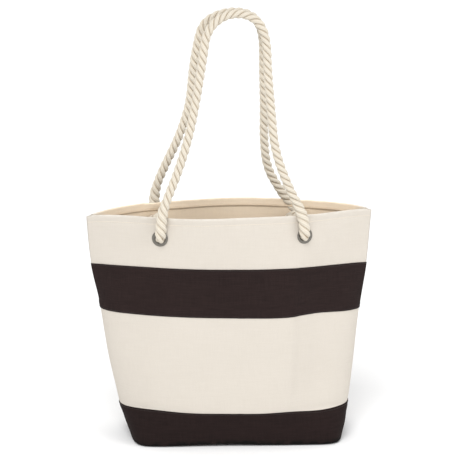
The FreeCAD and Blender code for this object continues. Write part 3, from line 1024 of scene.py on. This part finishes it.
def stripRows(kind):
    # rows up the strip: height, inset, how proud, length along the cloth, added height
    strip = strips[kind]
    low, high = strip["low"], strip["high"]
    if "lapLow" not in strip:
        return darkRows(kind, low, high), darkStrip["thick"]
    low -= strip["lapLow"]
    half = bag["cloth"] / 2
    if kind == "middle_panel":
        return [(z, half, 0.0, z, 0.0) for z in evenRows(low, high + strip["lapHigh"])], bag["cloth"]
    bend, steps = hemFold["bend"], hemFold["steps"]
    top = high - bend - half
    rows = [(z, half, 0.0, z, 0.0) for z in evenRows(low, top)]
    for step in range(1, steps):
        angle = math.pi * step / steps
        rows.append((top, half + bend * (1 - math.cos(angle)), 0.0, top + bend * angle,
                     bend * math.sin(angle)))
    foot = high - sewing["hemDepth"]
    run = top + bend * math.pi
    # the turned-in edge is pressed flat into the wall
    for z in np.linspace(top, foot, hemFold["rows"]):
        pressed = hemFold["pressed"] * smoothStep((foot + 0.0062 - z) / 0.0056)
        rows.append((z, half + (2 - pressed) * bend, 0.0, run + top - z, 0.0))
    return rows, bag["cloth"]


def sewStrip(sideName, kind):
    strip = strips[kind]
    rows, thick = stripRows(kind)
    q = acrossShares()
    lines, maps, wearAndShadeRows = [], [], []
    for z, inset, proud, run, raised in rows:
        row = withTurnedEnds(sideName, clothRow(sideName, z, inset, q, proud)[0], z, inset)
        row[:, 2] += raised
        lines.append(row)
        across = lengthsAlong(row)
        maps.append(np.stack([across - across[-1] / 2, np.full(len(across), run)], 1))
        wearAndShadeHere = 0.0
        if kind == "top_panel":
            wearAndShadeHere = hump((run - bag["height"]) / 0.0022) * 0.9
        # the base band is painted darker towards its bottom edge: painted shade where the edge rolls under
        if kind == "base_band":
            wearAndShadeHere = 2.2 * (1 - smoothStep((run - 0.001) / 0.010))
        wearAndShadeRows.append(np.full(len(row), wearAndShadeHere))
    columns = len(lines[0])
    keep = None
    if kind == "top_panel":
        folded = next(i for i, row in enumerate(rows) if row[1] > bag["cloth"] / 2 + 1e-6)

        def keep(r, c):
            # the folded hem stops short of the side seams
            return r + 1 < folded or 7 <= c <= columns - 9

    points = np.concatenate(lines)
    faces = gridFaces(len(rows), columns, sideName == "back", keep)
    if kind == "top_panel":
        points, faces = punchHoles(sideName, points, faces)
    corners = np.array([i for f in faces for i in f])
    used = np.unique(corners)
    renumber = np.full(len(points), -1)
    renumber[used] = np.arange(len(used))
    faces = [tuple(int(renumber[i]) for i in f) for f in faces]
    name = f"{sideName}_{kind}_cloth"
    piece = addPiece(name, points[used], faces, strip["canvas"], np.concatenate(maps)[corners],
                     {"wearAndShadeAmount": np.concatenate(wearAndShadeRows)[used]})
    thicken(piece, thick)
    nodes = [f"{sideName}_{kind}"] + ([f"{sideName}_hem_facing"] if kind == "top_panel" else [])
    intoBag(piece, "natural_canvas" if "lapLow" in strip else "dark_canvas", *nodes)


def thicken(piece, thick):
    body = piece.modifiers.new("ply", "SOLIDIFY")
    body.thickness = thick
    body.offset = 0
    asPlainMesh(piece)


# the cut, how much wider the cloth is cut away and drawn up, and how deep the cut reaches
hole = {"bore": 0.0086, "cut": 0.0006, "draw": 0.0032, "deep": 0.006}


def punchHoles(sideName, points, faces):
    # the cloth is cut away inside each eyelet's barrel and drawn up to it
    bore = hole["bore"]
    for (name, _), (centre, outward) in eyelets.items():
        if name != sideName:
            continue
        off = points - centre
        flat = off - np.outer(off @ outward, outward)
        away = np.linalg.norm(flat, axis=1)
        wall = np.abs(off @ outward) < hole["deep"]
        near = (away < bore + hole["cut"]) & wall
        faces = [f for f in faces if not any(near[i] for i in f)]
        rim = {i for f in faces for i in f if away[i] < bore + hole["draw"] and wall[i]}
        counts = {}
        for f in faces:
            for i in f:
                if i in rim:
                    counts[i] = counts.get(i, 0) + 1
        for i in rim:
            if counts[i] < 4:
                points[i] = points[i] - flat[i] * (1 - bore / away[i])
    return points, faces


for sideName in fronts:
    for kind in strips:
        sewStrip(sideName, kind)
print("walls sewn")

# bottom panel

bottom = {"inset": 0.0042, "height": 0.0020, "thick": 0.0011, "ripple": 0.0007, "columns": 121, "rows": 45}


def layBottom():
    x0, y0, along = planLine(0, bottom["inset"])
    at = (np.linspace(-1, 1, bottom["columns"]) + 1) / 2 * along[-1]
    x = np.interp(at, along, x0)
    y = np.interp(at, along, y0)
    lines = []
    for share in np.linspace(-1, 1, bottom["rows"]):
        line = np.stack([x, y * share, bottom["height"] + archLift(x)], 1)
        ripple = noiseAt(line[:, 0] * 22, line[:, 1] * 22, 6.0)
        line[:, 2] += bottom["ripple"] * (ripple + 0.6) * (1 - share**4)
        lines.append(line)
    points = np.concatenate(lines)
    faces = gridFaces(len(lines), len(x))
    piece = addPiece("bottom_panel_cloth", points, faces, darkCanvas, points[np.array(faces).ravel(), :2],
                     {"wearAndShadeAmount": np.full(len(points), 0.25)})
    thicken(piece, bottom["thick"])
    intoBag(piece, "dark_canvas", "bottom_panel")


layBottom()
print("bottom laid")

# seam allowances, each bound in a folded tape

tape = {
    "width": 0.0095,
    "sideThick": 0.0030,
    "cornerThick": 0.0022,
    "lean": 0.0007,
    "uneven": 0.04,
    "fromTip": 0.0045,
    # side seams: from which height to which, points along
    "sideLine": (0.007, 0.3795, 130),
    # corner seams: in from the base's end, half length, height, points along
    "corner": (0.0066, 0.048, 0.0038, 40),
    "stitchIn": 0.0020,
    "stitchOff": 0.0016,
}


def boundStrip(name, node, spine, inward, across, thick):
    # spine is the tape's outer edge, inward the way it reaches and across its thickness
    width = tape["width"]
    profile = [(share * width, thick / 2) for share in np.linspace(0, 1, 6)]
    profile += [(width + thick / 2 * math.cos(angle), thick / 2 * math.sin(angle))
                for angle in np.linspace(math.pi / 2, -math.pi / 2, 6)[1:-1]]
    profile += [(share * width, -thick / 2) for share in np.linspace(1, 0, 6)]
    length = lengthsAlong(spine)
    lean = tape["lean"] * noiseAt(length * 30, 4.0, len(name))
    wide = 1 + tape["uneven"] * noiseAt(length * 60, 9.0, len(name))
    points = [place + inward * a * wide[i] + across * (b + lean[i] * (a / width) ** 2)
              for i, place in enumerate(spine) for a, b in profile]
    spots = [(run, a if b >= 0 else -a) for run in length for a, b in profile]
    faces = tubeFaces(len(spine), len(profile))
    piece = addPiece(name, points, faces, naturalCanvas, [spots[i] for f in faces for i in f],
                     {"wearAndShadeAmount": np.zeros(len(points))})
    intoBag(piece, "seam_binding", node)


def sideSeamLine(end):
    # halfway between the two walls' tips, from above the base to just under the mouth
    low, high, count = tape["sideLine"]
    front, back = ([clothRow(sideName, z, bag["cloth"] / 2, [ends[end]])[0][0]
                    for z in np.linspace(low, high, count)] for sideName in fronts)
    return 0.5 * (np.array(front) + np.array(back))


for endName, sign in ends.items():
    inward = np.array([-sign, 0, 0])
    boundStrip(f"{endName}_side_seam_tape", f"{endName}_side_seam",
               sideSeamLine(endName) + inward * tape["fromTip"], inward, np.array([0, -sign, 0]),
               tape["sideThick"])
    gap, half, height, count = tape["corner"]
    x = bag["baseShift"] + sign * (halfLengthAt(0) - gap)
    spine = np.stack([np.full(count, x), np.linspace(-half, half, count), np.full(count, height)], 1)
    boundStrip(f"{endName}_corner_seam_tape", f"{endName}_corner_seam", spine, inward,
               np.array([0, 0, sign]), tape["cornerThick"])
print("seams bound")

# eyelets and washers

ring = {
    # radius and height above the wall's outer face
    "eyelet": [
        (0.0075, 0.00085), (0.0077, 0.00125), (0.0084, 0.00155), (0.0092, 0.00168), (0.0102, 0.00170),
        (0.0112, 0.00160), (0.0121, 0.00136), (0.0127, 0.00098), (0.0130, 0.00060), (0.0130, 0.00025),
        (0.0122, 0.00022), (0.0083, 0.00020), (0.0083, -0.0027), (0.0098, -0.0027), (0.0103, -0.0029),
        (0.0103, -0.0033), (0.0095, -0.0037), (0.0086, -0.0039), (0.0079, -0.0038), (0.0075, -0.0034),
    ],
    "washer": [
        (0.0085, -0.0019), (0.0090, -0.00185), (0.0120, -0.0019), (0.0125, -0.0021),
        (0.0125, -0.0026), (0.0120, -0.0027), (0.0090, -0.0027), (0.0085, -0.0026),
    ],
    "around": 72,
}


def turnRing(name, node, outline, centre, outward):
    right = np.cross((0.0, 0.0, 1.0), outward)
    right /= np.linalg.norm(right)
    up = np.cross(outward, right)
    around, count = ring["around"], len(outline)
    points, faces = [], []
    for k in range(around):
        angle = 2 * math.pi * k / around
        spoke = math.cos(angle) * right + math.sin(angle) * up
        points += [centre + spoke * r + outward * h for r, h in outline]
        here, after = k * count, (k + 1) % around * count
        faces += [(here + j, here + (j + 1) % count, after + (j + 1) % count, after + j)
                  for j in range(count)]
    intoBag(addPiece(name, points, faces, eyeletNickel), "eyelet_metal", node)


for (sideName, endName), (centre, outward) in eyelets.items():
    label = f"{sideName}_{endName}"
    turnRing(f"{label}_eyelet_ring", f"{label}_eyelet", ring["eyelet"], centre, outward)
    turnRing(f"{label}_washer_ring", f"{label}_washer", ring["washer"], centre, outward)
print("eyelets set")

# stitches


def stitchTree():
    tree = bpy.data.node_groups.new("stitchRow", "GeometryNodeTree")
    start, end = addSockets(
        tree,
        [("Line", "Geometry", None), ("Spacing", "Float", 0.004), ("Stitch Length", "Float", 0.003),
         ("Thread Radius", "Float", 0.0003), ("Slant", "Float", 0.0), ("Unevenness", "Float", 0.06),
         ("Seed", "Int", 1), ("Thread", "Material", None)],
        [("Stitches", "Geometry")],
    )
    add, _, times = sums(tree)
    given = start.outputs

    def node(kind, takes=None, **settings):
        made = newNode(tree, kind, **settings)
        for label, source in (takes or {}).items():
            put(tree, source, made, label)
        return made.outputs[0]

    line = node("GeometryNodeMeshToCurve", {"Mesh": given["Line"]})
    even = node("GeometryNodeResampleCurve", {"Curve": line, "Length": given["Spacing"]}, mode="LENGTH")
    half = times(given["Stitch Length"], 0.5)
    sink = times(given["Thread Radius"], -1.1)
    rise = times(given["Thread Radius"], 1.5)
    arch = node("GeometryNodeCurveQuadraticBezier", {
        "Start": combine(tree, times(half, -1.0), 0.0, sink), "Middle": combine(tree, 0.0, 0.0, rise),
        "End": combine(tree, half, 0.0, sink), "Resolution": 5})
    section = node("GeometryNodeCurvePrimitiveCircle", {"Resolution": 6, "Radius": given["Thread Radius"]},
                   mode="RADIUS")
    stitch = node("GeometryNodeCurveToMesh", {"Curve": arch, "Profile Curve": section, "Fill Caps": True})
    # each stitch lies along its line and faces away from the cloth
    lift = node("GeometryNodeInputNamedAttribute", {"Name": "lift"}, data_type="FLOAT_VECTOR")
    along = node("FunctionNodeAlignRotationToVector", {"Vector": node("GeometryNodeInputTangent")}, axis="X")
    facing = node("FunctionNodeAlignRotationToVector", {"Rotation": along, "Vector": lift}, axis="Z",
                  pivot_axis="X")
    wobble = newNode(tree, "FunctionNodeRandomValue", None, None, times(given["Unevenness"], -1.0),
                     given["Unevenness"], data_type="FLOAT")
    put(tree, given["Seed"], wobble, "Seed")
    turn = node("FunctionNodeEulerToRotation", {0: combine(tree, 0.0, 0.0, add(
        given["Slant"], wobble.outputs[1]))})
    turned = node("FunctionNodeRotateRotation", {0: facing, 1: turn}, rotation_space="LOCAL")
    place = node("GeometryNodeInstanceOnPoints", {"Points": even, "Instance": stitch, "Rotation": turned})
    real = node("GeometryNodeRealizeInstances", {0: place})
    finish = node("GeometryNodeSetMaterial", {0: real, "Material": given["Thread"]})
    tree.links.new(finish, end.inputs[0])
    return tree


stitching = stitchTree()


def sewRows(name, rows, material, slot):
    # rows is a list of (points, directions away from the cloth)
    points, edges, lifts = [], [], []
    for line, away in rows:
        first = len(points)
        points += [tuple(p) for p in line]
        lifts += [tuple(a) for a in away]
        edges += [(first + i, first + i + 1) for i in range(len(line) - 1)]
    mesh = bpy.data.meshes.new(name)
    mesh.from_pydata(points, edges, [])
    lift = mesh.attributes.new("lift", "FLOAT_VECTOR", "POINT")
    lift.data.foreach_set("vector", np.array(lifts, np.float32).ravel())
    piece = bpy.data.objects.new(name, mesh)
    scene.collection.objects.link(piece)
    maker = piece.modifiers.new("stitches", "NODES")
    maker.node_group = stitching
    settings = {"Spacing": sewing["spacing"], "Stitch Length": sewing["stitch"],
                "Thread Radius": sewing["thread"], "Thread": material, "Seed": len(name)}
    for item in stitching.interface.items_tree:
        if item.in_out == "INPUT" and item.name in settings:
            maker[item.identifier] = settings[item.name]
    asPlainMesh(piece)
    piece.data.polygons.foreach_set("use_smooth", [True] * len(piece.data.polygons))
    intoBag(piece, slot)


def wallStitchLine(sideName, z, inset, proud, outwards=True):
    q = np.linspace(-sewing["reach"], sewing["reach"], sewing["points"])
    points, facing = clothRow(sideName, z, inset, q, proud)
    away = facing if outwards else -facing
    return points + away * sewing["thread"] * sewing["lift"], away


for sideName in fronts:
    thick = bag["cloth"]
    hemZ = bag["height"] - sewing["hemRow"]
    sewRows(f"{sideName}_hem_stitches", [wallStitchLine(sideName, hemZ, 0.0, 0.0)], naturalThread,
            "natural_canvas")
    sewRows(f"{sideName}_hem_stitches_inside", [wallStitchLine(sideName, hemZ, 2 * thick, 0.0, False)],
            insideLitThread, "natural_canvas")
    darkLines, paleLines = [], []
    step = sewing["edgeRow"]
    stripe = strips["upper_stripe"]
    for z in (strips["base_band"]["high"] - step, stripe["low"] + step, stripe["high"] - step):
        darkLines.append(wallStitchLine(sideName, z, 0.0, sewing["onDark"]))
        paleLines.append(wallStitchLine(sideName, z, thick, 0.0, False))
    sewRows(f"{sideName}_strip_stitches", darkLines, darkThread, "dark_canvas")
    sewRows(f"{sideName}_strip_stitches_inside", paleLines, insideLitThread, "natural_canvas")
for endName, sign in ends.items():
    inner = sideSeamLine(endName)
    inner[:, 0] -= sign * (tape["fromTip"] + tape["width"] - tape["stitchIn"])
    sewRows(f"{endName}_seam_tape_stitches", [
        (inner + np.array([0, way * tape["stitchOff"], 0]), np.tile([0, way, 0], (len(inner), 1)))
        for way in (-1, 1)], overlockThread, "seam_binding")
print("stitches sewn")

# floor


def layFloor():
    points = [(30 * x, 30 * y, -0.0004) for x, y in ((-1, -1), (1, -1), (1, 1), (-1, 1))]
    addPiece("floor", points, [(0, 1, 2, 3)], floorMaterial(), smooth=False)


layFloor()
